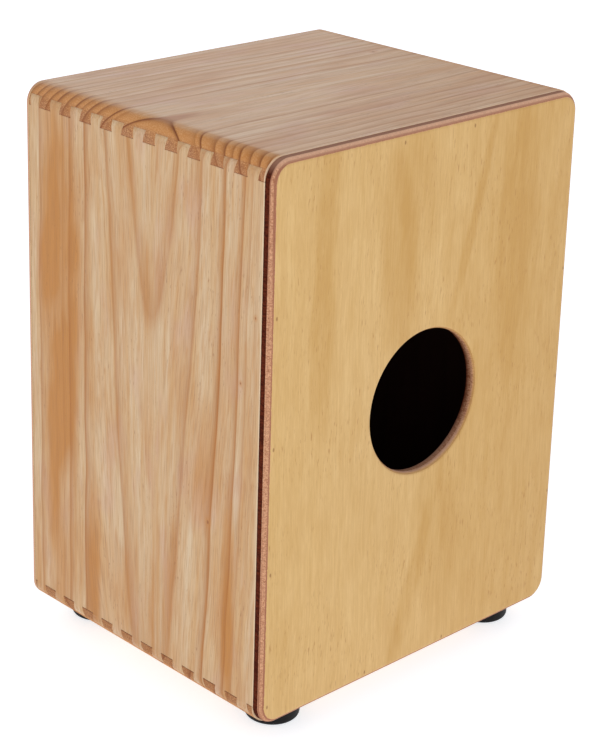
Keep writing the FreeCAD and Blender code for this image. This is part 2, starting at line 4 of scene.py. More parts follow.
import bmesh
import bpy
from mathutils import Euler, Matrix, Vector


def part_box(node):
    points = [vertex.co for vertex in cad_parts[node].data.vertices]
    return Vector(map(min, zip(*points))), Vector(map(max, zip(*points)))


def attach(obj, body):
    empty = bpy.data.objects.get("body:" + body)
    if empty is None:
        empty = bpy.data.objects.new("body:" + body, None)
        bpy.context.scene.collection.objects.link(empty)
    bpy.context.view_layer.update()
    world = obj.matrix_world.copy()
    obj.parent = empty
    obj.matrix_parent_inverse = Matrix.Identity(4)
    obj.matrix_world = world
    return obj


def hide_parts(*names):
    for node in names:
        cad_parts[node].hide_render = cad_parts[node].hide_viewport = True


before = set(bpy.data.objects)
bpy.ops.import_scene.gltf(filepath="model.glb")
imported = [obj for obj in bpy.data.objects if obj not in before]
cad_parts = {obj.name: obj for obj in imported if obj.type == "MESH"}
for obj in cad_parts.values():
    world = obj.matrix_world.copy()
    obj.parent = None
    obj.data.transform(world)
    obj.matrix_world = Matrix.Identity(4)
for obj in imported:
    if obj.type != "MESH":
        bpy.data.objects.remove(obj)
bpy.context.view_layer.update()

# Places below are in millimetres in the row's frame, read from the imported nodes.
MM = 0.001
PER_METRE = 1000.0


def box_mm(node):
    """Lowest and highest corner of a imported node, in millimetres."""
    low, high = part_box(node)
    return low * PER_METRE, high * PER_METRE


TOP = box_mm("seat_panel")[1].z
BASE = box_mm("bottom_panel")[0].z
SIDE = box_mm("side_panel_right")[1].x
REAR_LOW, REAR_HIGH = box_mm("rear_panel")
TAPA_LOW, TAPA_HIGH = box_mm("tapa")
BOARD = 15.0
CENTRE = Vector((0, 0, TOP / 2)) * MM


def srgb(red, green, blue):
    """A display colour, 0 to 255 a channel, as the linear colour that a shader takes."""
    linear = []
    for channel in (red, green, blue):
        share = channel / 255
        linear.append(share / 12.92 if share <= 0.04045 else ((share + 0.055) / 1.055) ** 2.4)
    return (*linear, 1.0)


def grey(level):
    return (level, level, level, 1.0)


# -------- camera, lights, floor

# The camera stands off the corner between the +X side and the rear panel, above the seat.
CAMERA_X = 0.99755
CAMERA_Y = 1.01981
CAMERA_ABOVE_SEAT = 0.35724
CAMERA_TURN = (71.4167, -1.4732, 136.5035)
CAMERA_SENSOR = 36.0
CAMERA_LENS = 99.32
CAMERA_SHIFT = (0.0143, -0.1679)
CAMERA_CLIP = (0.01, 50.0)

WALL_LIGHT = 1.0
CEILING_LIGHT = 0.42
CEILING_FADE = (0.1, 0.9)
FLOOR_GLOW = 0.70
FLOOR_GLOW_COLOUR = (0.96, 0.98, 1.0, 1.0)
FLOOR_COLOUR = (0.66, 0.69, 0.74, 1.0)
FLOOR_GRAIN = dict(scale=0.4, detail=3.0)
FLOOR_ROUGHNESS = 0.6
FLOOR_GLOSS = 0.2
FLOOR_RELIEF = 0.02
FLOOR_REACH = 6.0
FLOOR_DROP = -0.05 * MM

# Soft boxes: name, azimuth and elevation in degrees, distance and width in metres, watts.
SOFT_BOXES = (
    ("key", 60, 22, 2.0, 1.2, 3.0),
    ("side", 5, 25, 2.2, 1.2, 1.5),
    ("back", -120, 30, 2.4, 1.4, 4.0),
)


def make_camera():
    """The photograph's view: the +X side and the rear panel, from a little above."""
    data = bpy.data.cameras.new("camera")
    camera = bpy.data.objects.new("camera", data)
    bpy.context.scene.collection.objects.link(camera)
    camera.location = (CAMERA_X, CAMERA_Y, TOP * MM + CAMERA_ABOVE_SEAT)
    camera.rotation_euler = Euler([math.radians(angle) for angle in CAMERA_TURN], "XYZ")
    data.sensor_width = CAMERA_SENSOR
    data.sensor_fit = "AUTO"
    data.lens = CAMERA_LENS
    data.shift_x, data.shift_y = CAMERA_SHIFT
    data.clip_start, data.clip_end = CAMERA_CLIP
    bpy.context.scene.camera = camera


def make_soft_box(name, azimuth, elevation, distance, width, power):
    """A square soft box aimed at the object's centre. Azimuth is from +X towards +Y."""
    data = bpy.data.lights.new(name, "AREA")
    data.shape = "SQUARE"
    data.size = width
    data.energy = power
    light = bpy.data.objects.new(name, data)
    bpy.context.scene.collection.objects.link(light)
    turn, rise = math.radians(azimuth), math.radians(elevation)
    away = Vector((math.cos(turn) * math.cos(rise), math.sin(turn) * math.cos(rise), math.sin(rise)))
    light.location = CENTRE + away * distance
    light.rotation_euler = (-away).to_track_quat("-Z", "Y").to_euler()


def make_world():
    """White walls of light that fade to a dimmer ceiling."""
    world = bpy.data.worlds.new("studio")
    world.use_nodes = True
    nodes, links = world.node_tree.nodes, world.node_tree.links
    where = nodes.new("ShaderNodeTexCoord")
    parts = nodes.new("ShaderNodeSeparateXYZ")
    fade = nodes.new("ShaderNodeMapRange")
    fade.interpolation_type = "SMOOTHSTEP"
    fade.inputs["From Min"].default_value, fade.inputs["From Max"].default_value = CEILING_FADE
    fade.inputs["To Min"].default_value = WALL_LIGHT
    fade.inputs["To Max"].default_value = CEILING_LIGHT
    links.new(where.outputs["Generated"], parts.inputs[0])
    links.new(parts.outputs["Z"], fade.inputs["Value"])
    background = nodes["Background"]
    background.inputs["Color"].default_value = grey(1.0)
    links.new(fade.outputs[0], background.inputs["Strength"])
    bpy.context.scene.world = world


def make_floor():
    """A plain white floor that glows a little, so that it is as white as the walls."""
    graph = Graph("floor_white")
    graph.set("Base Color", FLOOR_COLOUR)
    graph.set("Roughness", FLOOR_ROUGHNESS)
    graph.set("Specular IOR Level", FLOOR_GLOSS)
    graph.set("Emission Color", FLOOR_GLOW_COLOUR)
    graph.set("Emission Strength", FLOOR_GLOW)
    graph.bump(graph.noise(graph.point(), **FLOOR_GRAIN), FLOOR_RELIEF)
    mesh = bpy.data.meshes.new("studio_floor")
    turns = ((-1, -1), (1, -1), (1, 1), (-1, 1))
    corners = [(FLOOR_REACH * x, FLOOR_REACH * y, FLOOR_DROP) for x, y in turns]
    mesh.from_pydata(corners, [], [(0, 1, 2, 3)])
    floor = bpy.data.objects.new("studio_floor", mesh)
    bpy.context.scene.collection.objects.link(floor)
    mesh.materials.append(graph.material)


def make_studio():
    bpy.context.scene.view_settings.view_transform = "Standard"
    make_world()
    for soft_box in SOFT_BOXES:
        make_soft_box(*soft_box)
    make_floor()


# -------- node graphs

class Graph:
    """One material's node tree, built with short calls. Lengths in it are millimetres."""

    def __init__(self, name):
        self.material = bpy.data.materials.new(name)
        self.material.use_nodes = True
        self.nodes = self.material.node_tree.nodes
        self.links = self.material.node_tree.links
        self.nodes.clear()
        output = self.nodes.new("ShaderNodeOutputMaterial")
        self.shader = self.nodes.new("ShaderNodeBsdfPrincipled")
        self.links.new(self.shader.outputs[0], output.inputs[0])
        self.where = self.nodes.new("ShaderNodeTexCoord")
        self.rest_point = None

    def feed(self, socket, value):
        if isinstance(value, bpy.types.NodeSocket):
            self.links.new(value, socket)
        else:
            socket.default_value = value

    def set(self, name, value):
        self.feed(self.shader.inputs[name], value)

    def math(self, operation, *values, clamp=False):
        node = self.nodes.new("ShaderNodeMath")
        node.operation = operation
        node.use_clamp = clamp
        for socket, value in zip(node.inputs, values):
            self.feed(socket, value)
        return node.outputs[0]

    def add(self, first, second):
        return self.math("ADD", first, second)

    def subtract(self, first, second):
        return self.math("SUBTRACT", first, second)

    def multiply(self, first, second):
        return self.math("MULTIPLY", first, second)

    def divide(self, first, second):
        return self.math("DIVIDE", first, second)

    def power(self, value, exponent):
        return self.math("POWER", value, exponent)

    def larger(self, first, second):
        return self.math("MAXIMUM", first, second)

    def size(self, value):
        return self.math("ABSOLUTE", value)

    def square(self, value):
        return self.math("MULTIPLY", value, value)

    def length(self, first, second):
        """Length of the vector with these two parts."""
        return self.math("SQRT", self.add(self.square(first), self.square(second)))

    def share(self, value, scale=1.0):
        """The value times scale, held within 0 to 1."""
        return self.math("MULTIPLY", value, scale, clamp=True)

    def point(self):
        """The surface point at rest, in millimetres from the middle of the box's underside."""
        if self.rest_point is None:
            scale = self.nodes.new("ShaderNodeVectorMath")
            scale.operation = "MULTIPLY_ADD"
            self.links.new(self.where.outputs["Object"], scale.inputs[0])
            scale.inputs[1].default_value = (PER_METRE, PER_METRE, PER_METRE)
            scale.inputs[2].default_value = (0.0, 0.0, -BASE)
            self.rest_point = scale.outputs[0]
        return self.rest_point

    def split(self, vector):
        node = self.nodes.new("ShaderNodeSeparateXYZ")
        self.links.new(vector, node.inputs[0])
        return dict(zip("XYZ", node.outputs))

    def join(self, first, second, third):
        node = self.nodes.new("ShaderNodeCombineXYZ")
        for socket, value in zip(node.inputs, (first, second, third)):
            self.feed(socket, value)
        return node.outputs[0]

    def normal_parts(self):
        """The surface normal in the object's own axes."""
        return self.split(self.where.outputs["Normal"])

    def noise(self, vector, scale, detail=2.0, roughness=0.5):
        """Soft noise, 0 to 1. Scale is in features a millimetre."""
        node = self.nodes.new("ShaderNodeTexNoise")
        self.links.new(vector, node.inputs["Vector"])
        node.inputs["Scale"].default_value = scale
        node.inputs["Detail"].default_value = detail
        node.inputs["Roughness"].default_value = roughness
        return node.outputs[0]

    def grain(self, across, along, through, scale, squeeze, detail=2.0, roughness=0.5):
        """Noise drawn out along the grain."""
        drawn = self.join(across, through, self.multiply(along, squeeze))
        return self.noise(drawn, scale, detail, roughness)

    def drawn_out(self, stretch):
        """The surface point with X, Y and Z each times its own number: small ones draw noise out."""
        node = self.nodes.new("ShaderNodeVectorMath")
        node.operation = "MULTIPLY"
        self.links.new(self.point(), node.inputs[0])
        node.inputs[1].default_value = stretch
        return node.outputs[0]

    def drawn_noise(self, stretch, scale, detail, roughness=0.5):
        return self.noise(self.drawn_out(stretch), scale, detail, roughness)

    def step(self, value, low, high):
        """0 below low, 1 above high, and a soft step between them. High may be the lower one."""
        node = self.nodes.new("ShaderNodeMapRange")
        node.interpolation_type = "SMOOTHSTEP"
        swapped = high < low
        self.feed(node.inputs["Value"], value)
        node.inputs["From Min"].default_value = min(low, high)
        node.inputs["From Max"].default_value = max(low, high)
        node.inputs["To Min"].default_value = 1.0 if swapped else 0.0
        node.inputs["To Max"].default_value = 0.0 if swapped else 1.0
        return node.outputs[0]

    def span(self, value, low, high):
        """Moves a 0 to 1 value to low to high, in a straight line."""
        node = self.nodes.new("ShaderNodeMapRange")
        self.feed(node.inputs["Value"], value)
        node.inputs["To Min"].default_value = low
        node.inputs["To Max"].default_value = high
        return node.outputs[0]

    def contrast(self, value, low, high):
        """Spreads a 0 to 1 value to low to high, and cuts it off at 0 and 1."""
        return self.math("ADD", self.span(value, low, high), 0.0, clamp=True)

    def ramp(self, value, stops):
        node = self.nodes.new("ShaderNodeValToRGB")
        self.feed(node.inputs[0], value)
        elements = node.color_ramp.elements
        while len(elements) > 1:
            elements.remove(elements[-1])
        elements[0].position, elements[0].color = stops[0]
        for position, colour in stops[1:]:
            elements.new(position).color = colour
        return node.outputs[0]

    def mix(self, share, first, second, kind="MIX"):
        """A colour between first and second."""
        node = self.nodes.new("ShaderNodeMix")
        node.data_type = "RGBA"
        node.blend_type = kind
        self.feed(node.inputs[0], share)
        self.feed(node.inputs[6], first)
        self.feed(node.inputs[7], second)
        return node.outputs[2]

    def bump(self, height, distance):
        """Relief of that depth in millimetres for a height of 0 to 1."""
        node = self.nodes.new("ShaderNodeBump")
        node.inputs["Strength"].default_value = 1.0
        node.inputs["Distance"].default_value = distance * MM
        self.links.new(height, node.inputs["Height"])
        self.links.new(node.outputs[0], self.shader.inputs["Normal"])


# -------- solid pine

PINE_PALE = srgb(217, 191, 156)
PINE_MIDDLE = srgb(207, 166, 118)
PINE_BLUSH = srgb(206, 166, 144)
PINE_AMBER = srgb(192, 130, 62)
PINE_LATE = srgb(170, 101, 24)
PINE_TICK = srgb(134, 80, 40)
PINE_FIBRE = srgb(158, 106, 60)
PINE_END_ROUND = srgb(202, 138, 72)
PINE_END = srgb(146, 88, 46)
PINE_END_LATE = srgb(112, 50, 16)
PINE_END_PALE = srgb(222, 172, 116)
KNOT_HALO = srgb(190, 128, 62)
KNOT = srgb(150, 88, 42)
# Pale colour of the painted highlight along the boards' rear edges.
PAINTED_EDGE_HIGHLIGHT = srgb(236, 212, 178)
# A dark stain for the inner faces, taken near black as painted shade inside the box.
INSIDE_STAIN_AND_SHADE = srgb(46, 22, 17)
INSIDE_STAIN_AND_SHADE_PALER = srgb(62, 32, 24)

# Noises along the fibres: scale in features a millimetre, squeeze (the smaller, the longer its
# features), detail and roughness.
PINE_UNEVEN = (0.12, 0.05, 2.0)
PINE_FINE = (1.5, 0.022, 4.0, 0.6)
PINE_STREAKS = (0.16, 0.03, 3.0, 0.55)
PINE_PATCHES = (0.045, 0.22, 2.5)
PINE_BLUSHES = (0.04, 0.4, 2.0)
PINE_TICKS = (1.15, 0.14, 1.0)
PINE_TICK_AREAS = (0.05, 0.2, 2.0)
PINE_DASHES = (0.75, 0.07, 2.0)
PINE_SPECKS = (1.4, 0.6, 3.0, 0.7)
BLUSH_SHIFT = 60.0
SEED_SHIFT = 37.0

# A slow wander keeps the ring lines from running ruler straight: its scales, detail and reach.
WANDER_ALONG = 0.007
WANDER_ACROSS = 0.016
WANDER_DETAIL = 2.5
WANDER_REACH = 5.0

# The fibres' fan is smooth within this distance of the pith, and never closes below this share.
FAN_CORE = 20.0
FAN_LEAST = 0.2

# Late wood rises over this distance at least and falls back to pale over the next one. One ramp
# holds this many rings, and starts and ends this far from its first and last.
RISE_LEAST = 0.3
FALL = 1.1
RINGS_A_RAMP = 8
RAMP_BEFORE = 15.0
RAMP_AFTER = 4.0

# Each ring is a soft glow and a thin line in it: the power of the late wood, and its share.
LATE_GLOW = (1.4, 0.45)
LATE_LINE = (3.5, 0.55)

# Noise levels where each mark on a face starts and is full, and how much of its colour it gives.
# A range is what a noise is spread to.
BLUSH_LEVELS, BLUSH_SHARE = (0.5, 0.72), 0.5
TICK_LEVELS, TICK_AREA_LEVELS, TICK_SHARE = (0.67, 0.76), (0.42, 0.62), 0.5
DASH_LEVELS, DASH_SHARE = (0.5, 0.68), 0.34
UNEVEN_RANGE = (0.55, 1.35)
AMBER_RANGE = (-1.0, 1.2)
STREAK_RANGE = (-0.9, 1.9)
FIBRE_RANGE = (-1.0, 1.2)
LATE_SHARE = 0.95

# A knot is a little longer than wide. Its halo and core fade between these multiples of its size.
KNOT_SQUASH = 0.72
HALO_FADE, HALO_SHARE = (3.0, 0.6), 0.5
KNOT_FADE, KNOT_SHARE = (0.9, 0.35), 0.8

# End grain: how square to the grain a cut is, its specks, its rings and how much of it shows.
SQUARE_ON = (0.75, 0.98)
SPECK_RANGE = (-1.9, 2.3)
END_GLOW, END_LINE, END_SHARE = 1.5, 2.1, 0.92
TORN_SPECKS, TORN_FADE, TORN_SHARE = 14.0, (5.0, 16.0), 0.55

# Heights over the inner face where the grime at the foot of each pin and the stain, painted shade
# inside the box, fade in, and distances from the rear panel where the painted edge highlight does.
ROOT_SPECKS, ROOT_FADE, ROOT_SHARE = 3.0, (2.6, 1.2), 0.6
INSIDE_STAIN_AND_SHADE_FADE = (0.5, 0.15)
HIGHLIGHT_FADE, HIGHLIGHT_SHARE = (1.0, 0.4), 0.7

PINE_ROUGHNESS = (0.36, 0.5)
OPEN_GRAIN_ROUGHER = 0.25
PINE_RELIEF = 0.035
FIBRE_HEIGHT, LATE_HEIGHT, TICK_DEPTH = 0.6, 0.5, 0.5


class Board(NamedTuple):
    """How one pine board was cut from its tree.

    grain and depth name the frame's axes along the grain and through the board; the rings
    are seen across Y. The show face lies at face, and outward is 1 or -1 along depth. The pith
    lies pith_depth below the show face, under y = pith, and leans so that the square of its
    distance grows by lean for each millimetre along the grain from where the rings are counted.
    Each ring is its distance from the pith there, how strong it is and how wide. End grain fades
    in over these leans of the normal along the grain. Streaks are places across and along, half
    sizes and a strength; knots are places and a size. Where straight is given, the lean fades in
    between its two places across, so that the lines before them run straight up the board. From
    torn_from to its ends the face is torn open in specks.
    """

    name: str
    grain: str
    depth: str
    face: float
    outward: float
    pith: float
    pith_depth: float
    lean: float
    counted_at: float
    rings: tuple
    end_grain: tuple
    streaks: tuple
    knots: tuple
    seed: float
    straight: tuple = None
    torn_from: float = None
    gloss: float = 0.3
    tone: tuple = (1.0, 1.0, 1.0)


class PineCut:
    """Where a surface point lies in one board and its tree, as sockets in millimetres.

    over_face is its height over the show face, so it is negative inside the board.
    """

    def __init__(self, graph, board):
        self.graph = graph
        self.board = board
        parts = graph.split(graph.point())
        self.along, self.across, self.through = parts[board.grain], parts["Y"], parts[board.depth]
        self.over_face = graph.multiply(graph.subtract(self.through, board.face), board.outward)
        off = graph.subtract(graph.add(self.across, self.wander()), board.pith)
        lean = self.lean()
        depth = graph.add(self.over_face, board.pith_depth)
        flat = graph.add(graph.square(off), graph.square(depth))
        self.radius = graph.math("SQRT", graph.add(flat, lean))
        self.fibre_across = graph.add(self.fan(off, lean), board.seed * SEED_SHIFT)

    def wander(self):
        graph = self.graph
        slow = graph.join(graph.add(graph.multiply(self.along, WANDER_ALONG), self.board.seed),
                          graph.multiply(self.across, WANDER_ACROSS),
                          graph.multiply(self.through, WANDER_ACROSS))
        return graph.span(graph.noise(slow, 1.0, detail=WANDER_DETAIL), -WANDER_REACH, WANDER_REACH)

    def lean(self):
        """What the tree's lean adds to the squared distance from the pith."""
        lean = self.graph.multiply(self.graph.subtract(self.board.counted_at, self.along), self.board.lean)
        if self.board.straight:
            lean = self.graph.multiply(lean, self.graph.step(self.across, *self.board.straight))
        return lean

    def fan(self, off, lean):
        """Place across the fibres: they fan with the ring lines but stay smooth over the middle."""
        graph = self.graph
        core = graph.add(graph.square(off), FAN_CORE ** 2)
        opening = graph.larger(graph.add(graph.divide(lean, core), 1.0), FAN_LEAST)
        return graph.multiply(off, graph.math("SQRT", opening))

    def grain(self, recipe, shift=0.0):
        """Noise drawn out along the fibres."""
        across = self.graph.add(self.fibre_across, shift) if shift else self.fibre_across
        return self.graph.grain(across, self.along, self.through, *recipe)

    def specks(self):
        """Noise for cut ends, which does not follow the fibres."""
        return self.graph.grain(self.across, self.along, self.through, *PINE_SPECKS)


def ring_stops(rings, low, high):
    """Colour stops from low to high: each ring rises to its edge and falls back at once."""
    stops = [(0.0, grey(0.0))]
    previous = low
    for edge, strength, width in rings:
        start = max(previous + RISE_LEAST, edge - width)
        for place, level in ((start, 0.0), (edge, strength), (edge + FALL, 0.0)):
            stops.append(((place - low) / (high - low), grey(level)))
        previous = edge + FALL
    return stops


def late_wood(graph, radius, rings):
    """Late wood at a distance from the pith, as a glow and as the thin dark line that ends a ring."""
    late = None
    for first in range(0, len(rings), RINGS_A_RAMP):
        group = rings[first:first + RINGS_A_RAMP]
        low, high = group[0][0] - RAMP_BEFORE, group[-1][0] + RAMP_AFTER
        place = graph.divide(graph.subtract(radius, low), high - low)
        share = graph.ramp(place, ring_stops(group, low, high))
        late = share if late is None else graph.larger(late, share)
    return [graph.multiply(graph.power(late, power), share) for power, share in (LATE_GLOW, LATE_LINE)]


def ellipse_share(graph, along, across, streak):
    """How far inside one soft long ellipse a point is, 0 to its strength."""
    centre_across, centre_along, half_across, half_along, strength = streak
    side = graph.divide(graph.subtract(across, centre_across), half_across)
    length = graph.divide(graph.subtract(along, centre_along), half_along)
    away = graph.add(graph.square(side), graph.square(length))
    return graph.multiply(graph.step(away, 1.0, 0.0), strength)


def amber_share(graph, cut):
    """Resin-rich wood: soft patches everywhere, and the board's own streaks."""
    amber = graph.span(cut.grain(PINE_PATCHES), *AMBER_RANGE)
    for streak in cut.board.streaks:
        amber = graph.add(amber, ellipse_share(graph, cut.along, cut.across, streak))
    return graph.share(amber)


def pine_face_colour(graph, cut, late, marks):
    """Planed face: streaks, blush, amber, late wood, resin ticks and dashes, and fine fibre."""
    streaky, tick, fibre = marks
    blush = graph.step(cut.grain(PINE_BLUSHES, BLUSH_SHIFT), *BLUSH_LEVELS)
    dash = graph.step(cut.grain(PINE_DASHES), *DASH_LEVELS)
    colour = graph.mix(graph.contrast(streaky, *STREAK_RANGE), PINE_PALE, PINE_MIDDLE)
    colour = graph.mix(graph.multiply(blush, BLUSH_SHARE), colour, PINE_BLUSH)
    colour = graph.mix(amber_share(graph, cut), colour, PINE_AMBER)
    colour = graph.mix(graph.share(late, LATE_SHARE), colour, PINE_LATE)
    colour = graph.mix(graph.multiply(tick, TICK_SHARE), colour, PINE_TICK)
    colour = graph.mix(graph.multiply(dash, DASH_SHARE), colour, PINE_AMBER)
    return graph.mix(graph.contrast(fibre, *FIBRE_RANGE), colour, PINE_FIBRE)


def add_knots(graph, cut, colour, height):
    """Small knots that run straight through the board. The last one is sunk a little."""
    core = None
    for knot_across, knot_along, size in cut.board.knots:
        side = graph.subtract(cut.across, knot_across)
        length = graph.multiply(graph.subtract(cut.along, knot_along), KNOT_SQUASH)
        away = graph.length(side, length)
        halo = graph.step(away, *(size * share for share in HALO_FADE))
        core = graph.step(away, *(size * share for share in KNOT_FADE))
        colour = graph.mix(graph.multiply(halo, HALO_SHARE), colour, KNOT_HALO)
        colour = graph.mix(graph.multiply(core, KNOT_SHARE), colour, KNOT)
    return colour, height if core is None else graph.subtract(height, core)


def end_grain_share(graph, cut, lean, specks):
    """How much a surface is end grain. Towards its ends a flat board is torn open in specks."""
    end = graph.step(lean, *cut.board.end_grain)
    if cut.board.torn_from is None:
        return end
    torn = graph.add(graph.size(cut.along), graph.multiply(specks, TORN_SPECKS))
    torn = graph.step(torn, *(cut.board.torn_from + place for place in TORN_FADE))
    return graph.larger(end, graph.multiply(torn, TORN_SHARE))


def end_grain_colour(graph, square_on, specks, late, line):
    """End grain soaks up the finish: darker, redder, with the rings more marked."""
    colour = graph.mix(square_on, PINE_END_ROUND, PINE_END)
    colour = graph.mix(graph.contrast(specks, *SPECK_RANGE), colour, PINE_END_PALE)
    colour = graph.mix(graph.share(graph.subtract(late, line), END_GLOW), colour, PINE_LATE)
    return graph.mix(graph.share(line, END_LINE), colour, PINE_END_LATE)


def add_grime_and_painted_highlight(graph, cut, colour, square_on, specks):
    """Glue and dust darken the foot of each pin; the box's rear edge carries a pale painted highlight."""
    reach = graph.add(cut.over_face, graph.multiply(specks, ROOT_SPECKS))
    root = graph.step(reach, *(place - BOARD for place in ROOT_FADE))
    grime = graph.multiply(graph.multiply(root, square_on), ROOT_SHARE)
    colour = graph.mix(grime, colour, PINE_END_LATE)
    # Painted highlight: a pale band along each board's rear edge.
    rear_highlight = graph.step(cut.across, *(REAR_LOW.y - place for place in HIGHLIGHT_FADE))
    return graph.mix(graph.multiply(rear_highlight, HIGHLIGHT_SHARE), colour, PAINTED_EDGE_HIGHLIGHT)


def add_cut_ends(graph, cut, colour, late, line):
    """Lays end grain over the face. Also how much end grain there is, and how square it is cut."""
    lean = graph.size(graph.normal_parts()[cut.board.grain])
    specks = cut.specks()
    end = end_grain_share(graph, cut, lean, specks)
    square_on = graph.step(lean, *SQUARE_ON)
    end_colour = end_grain_colour(graph, square_on, specks, late, line)
    colour = graph.mix(graph.multiply(end, END_SHARE), colour, end_colour)
    return add_grime_and_painted_highlight(graph, cut, colour, square_on, specks), end, square_on


def make_pine(board):
    """The board's wood on its faces, cut ends and stained inner side, all from the same rings. The dark
    stain paints the shade inside the box and the pale rear edge is a painted highlight.
    """
    graph = Graph("pine_" + board.name)
    cut = PineCut(graph, board)
    glow, line = late_wood(graph, cut.radius, board.rings)
    uneven = graph.span(cut.grain(PINE_UNEVEN), *UNEVEN_RANGE)
    late = graph.multiply(graph.add(glow, line), uneven)
    fibre = cut.grain(PINE_FINE)
    streaky = cut.grain(PINE_STREAKS)
    tick = graph.multiply(graph.step(cut.grain(PINE_TICKS), *TICK_LEVELS),
                          graph.step(cut.grain(PINE_TICK_AREAS), *TICK_AREA_LEVELS))
    height = graph.add(graph.multiply(fibre, FIBRE_HEIGHT), graph.multiply(late, LATE_HEIGHT))
    height = graph.subtract(height, graph.multiply(tick, TICK_DEPTH))
    colour = pine_face_colour(graph, cut, late, (streaky, tick, fibre))
    colour, height = add_knots(graph, cut, colour, height)
    colour, end, square_on = add_cut_ends(graph, cut, colour, late, line)

    # The inner face is stained dark, a stain taken this dark as painted shade inside the box, but not the
    # ends of tails and pins.
    inside = graph.multiply(graph.step(cut.over_face, *(place - BOARD for place in INSIDE_STAIN_AND_SHADE_FADE)),
                            graph.subtract(1.0, square_on))
    # A board's tone multiplies its colour; the bottom board's darker tone is painted shade on its
    # underside.
    colour = graph.mix(1.0, colour, (*board.tone, 1.0), kind="MULTIPLY")
    colour = graph.mix(inside, colour, graph.mix(streaky, INSIDE_STAIN_AND_SHADE, INSIDE_STAIN_AND_SHADE_PALER))
    rougher = graph.multiply(graph.larger(inside, end), OPEN_GRAIN_ROUGHER)
    graph.set("Base Color", colour)
    graph.set("Roughness", graph.add(graph.span(fibre, *PINE_ROUGHNESS), rougher))
    graph.set("Specular IOR Level", board.gloss)
    graph.bump(height, PINE_RELIEF)
    return graph.material


# The flat boards' end grain begins on their rounded corners, so it fades in from a small lean.
UPRIGHT_END_GRAIN = (0.72, 0.97)
FLAT_END_GRAIN = (0.05, 0.55)
TORN_FROM = SIDE - 18.0

RIGHT_BOARD = Board(
    "side_right", grain="Z", depth="X", face=SIDE, outward=1.0, pith=10.5, pith_depth=60.0,
    lean=5.8, counted_at=387.0, end_grain=UPRIGHT_END_GRAIN,
    rings=((61.2, 0.3, 5), (65.6, 0.78, 4), (78.1, 0.85, 6), (94.9, 1.0, 7), (109, 0.95, 7),
           (115.3, 0.7, 4), (122.7, 0.6, 4), (130.6, 0.5, 4), (138.2, 0.9, 6)),
    streaks=((-91, 262, 30, 170, 0.95), (-92, 107, 24, 150, 0.6), (-53, 57, 10, 95, 0.75),
             (92, 77, 8, 130, 0.65), (10, 287, 18, 45, 0.35), (-15, 47, 10, 60, 0.3)),
    knots=((71, 136, 1.6), (101, 247, 0.9), (114, 296, 0.9)),
    seed=3.1, straight=(-66.0, -32.0),
)
LEFT_BOARD = Board(
    "side_left", grain="Z", depth="X", face=-SIDE, outward=-1.0, pith=-18.0, pith_depth=48.0,
    lean=-4.2, counted_at=27.0, end_grain=UPRIGHT_END_GRAIN,
    rings=((52, 0.6, 5), (63.1, 0.9, 7), (76.8, 0.8, 6), (93.3, 1.0, 8), (107.3, 0.8, 6),
           (118.2, 0.7, 5), (130.2, 0.9, 6), (141.4, 0.7, 5)),
    streaks=((60, 137, 20, 150, 0.7), (-90, 307, 18, 120, 0.6), (-14, 77, 14, 60, 0.4)),
    knots=((-66, 249, 2.2), (38, 83, 1.1)),
    seed=11.7,
)
SEAT_BOARD = Board(
    "seat", grain="X", depth="Z", face=TOP - BASE, outward=1.0, pith=10.0, pith_depth=50.0,
    lean=1.9, counted_at=0.0, end_grain=FLAT_END_GRAIN, torn_from=TORN_FROM,
    rings=((47.6, 1.0, 3), (57.8, 0.6, 6), (62.0, 1.0, 4), (72.5, 0.8, 8), (80.5, 0.9, 7),
           (86.8, 0.75, 5), (92.6, 0.95, 5), (101.2, 0.85, 7), (110, 0.9, 7), (117.2, 0.85, 6),
           (125.4, 0.8, 7), (131.8, 0.85, 5), (139.3, 0.8, 6), (146.8, 0.85, 6)),
    streaks=((8, 125, 9, 22, 0.4),),
    knots=((-45, -115, 1.6),),
    seed=23.4, gloss=0.42, tone=(1.06, 1.0, 1.01),
)
BASE_BOARD = Board(
    "bottom", grain="X", depth="Z", face=0.0, outward=-1.0, pith=-30.0, pith_depth=42.0,
    lean=1.6, counted_at=-60.0, end_grain=FLAT_END_GRAIN, torn_from=TORN_FROM,
    rings=((47.4, 0.6, 5), (60.8, 0.9, 7), (71.6, 0.6, 5), (87.7, 0.9, 6), (101.1, 0.6, 5),
           (112.2, 0.8, 5), (125.3, 0.7, 5), (140.4, 0.8, 5), (153.8, 0.7, 5)),
    streaks=((40, 60, 16, 120, 0.5),),
    knots=((52, -84, 2.0),),
    # This darker tone is painted shade for the underside, which the glowing floor lights.
    seed=31.9, tone=(0.93, 0.87, 0.82),
)


# -------- rear panel and tapa

# The rear panel's section: its plies, the round on its outer edge and the round on the hole.
REAR_EDGE_ROUND = 6.0
HOLE_ROUND = 3.0
CORNER_ROUND = 16.0
DARK_PLY_DEPTH = 4.2
FACE_VENEER = 0.5
HOLE_RADIUS = 52.5
HOLE_CENTRE = Vector((0.0, REAR_LOW.z + 202.5))

# How far the inner plies stand back from the panel's outline and from its hole.
DARK_PLY_BACK = 0.35
CORE_BACK = 0.06

# Steps in each quarter round of the outline, on its four straights and through each ply.
CORNER_STEPS = 14
STRAIGHT_STEPS = (28, 36, 28, 36)
DARK_PLY_LEVELS = 5
CORE_LEVELS = 12
VENEER_LEVELS = 5
SHARP_ANGLE = 40

VENEER_PALE = srgb(221, 183, 122)
VENEER_BAND = srgb(199, 153, 82)
VENEER_FIBRE = srgb(184, 134, 70)
VENEER_PORE = srgb(164, 104, 40)
PIN_FILLING = srgb(140, 92, 44)
CORE_LIGHT = srgb(226, 172, 134)
CORE_DARK = srgb(168, 103, 70)
CORE_PLY = srgb(170, 112, 84)
CORE_PIT = srgb(100, 50, 32)
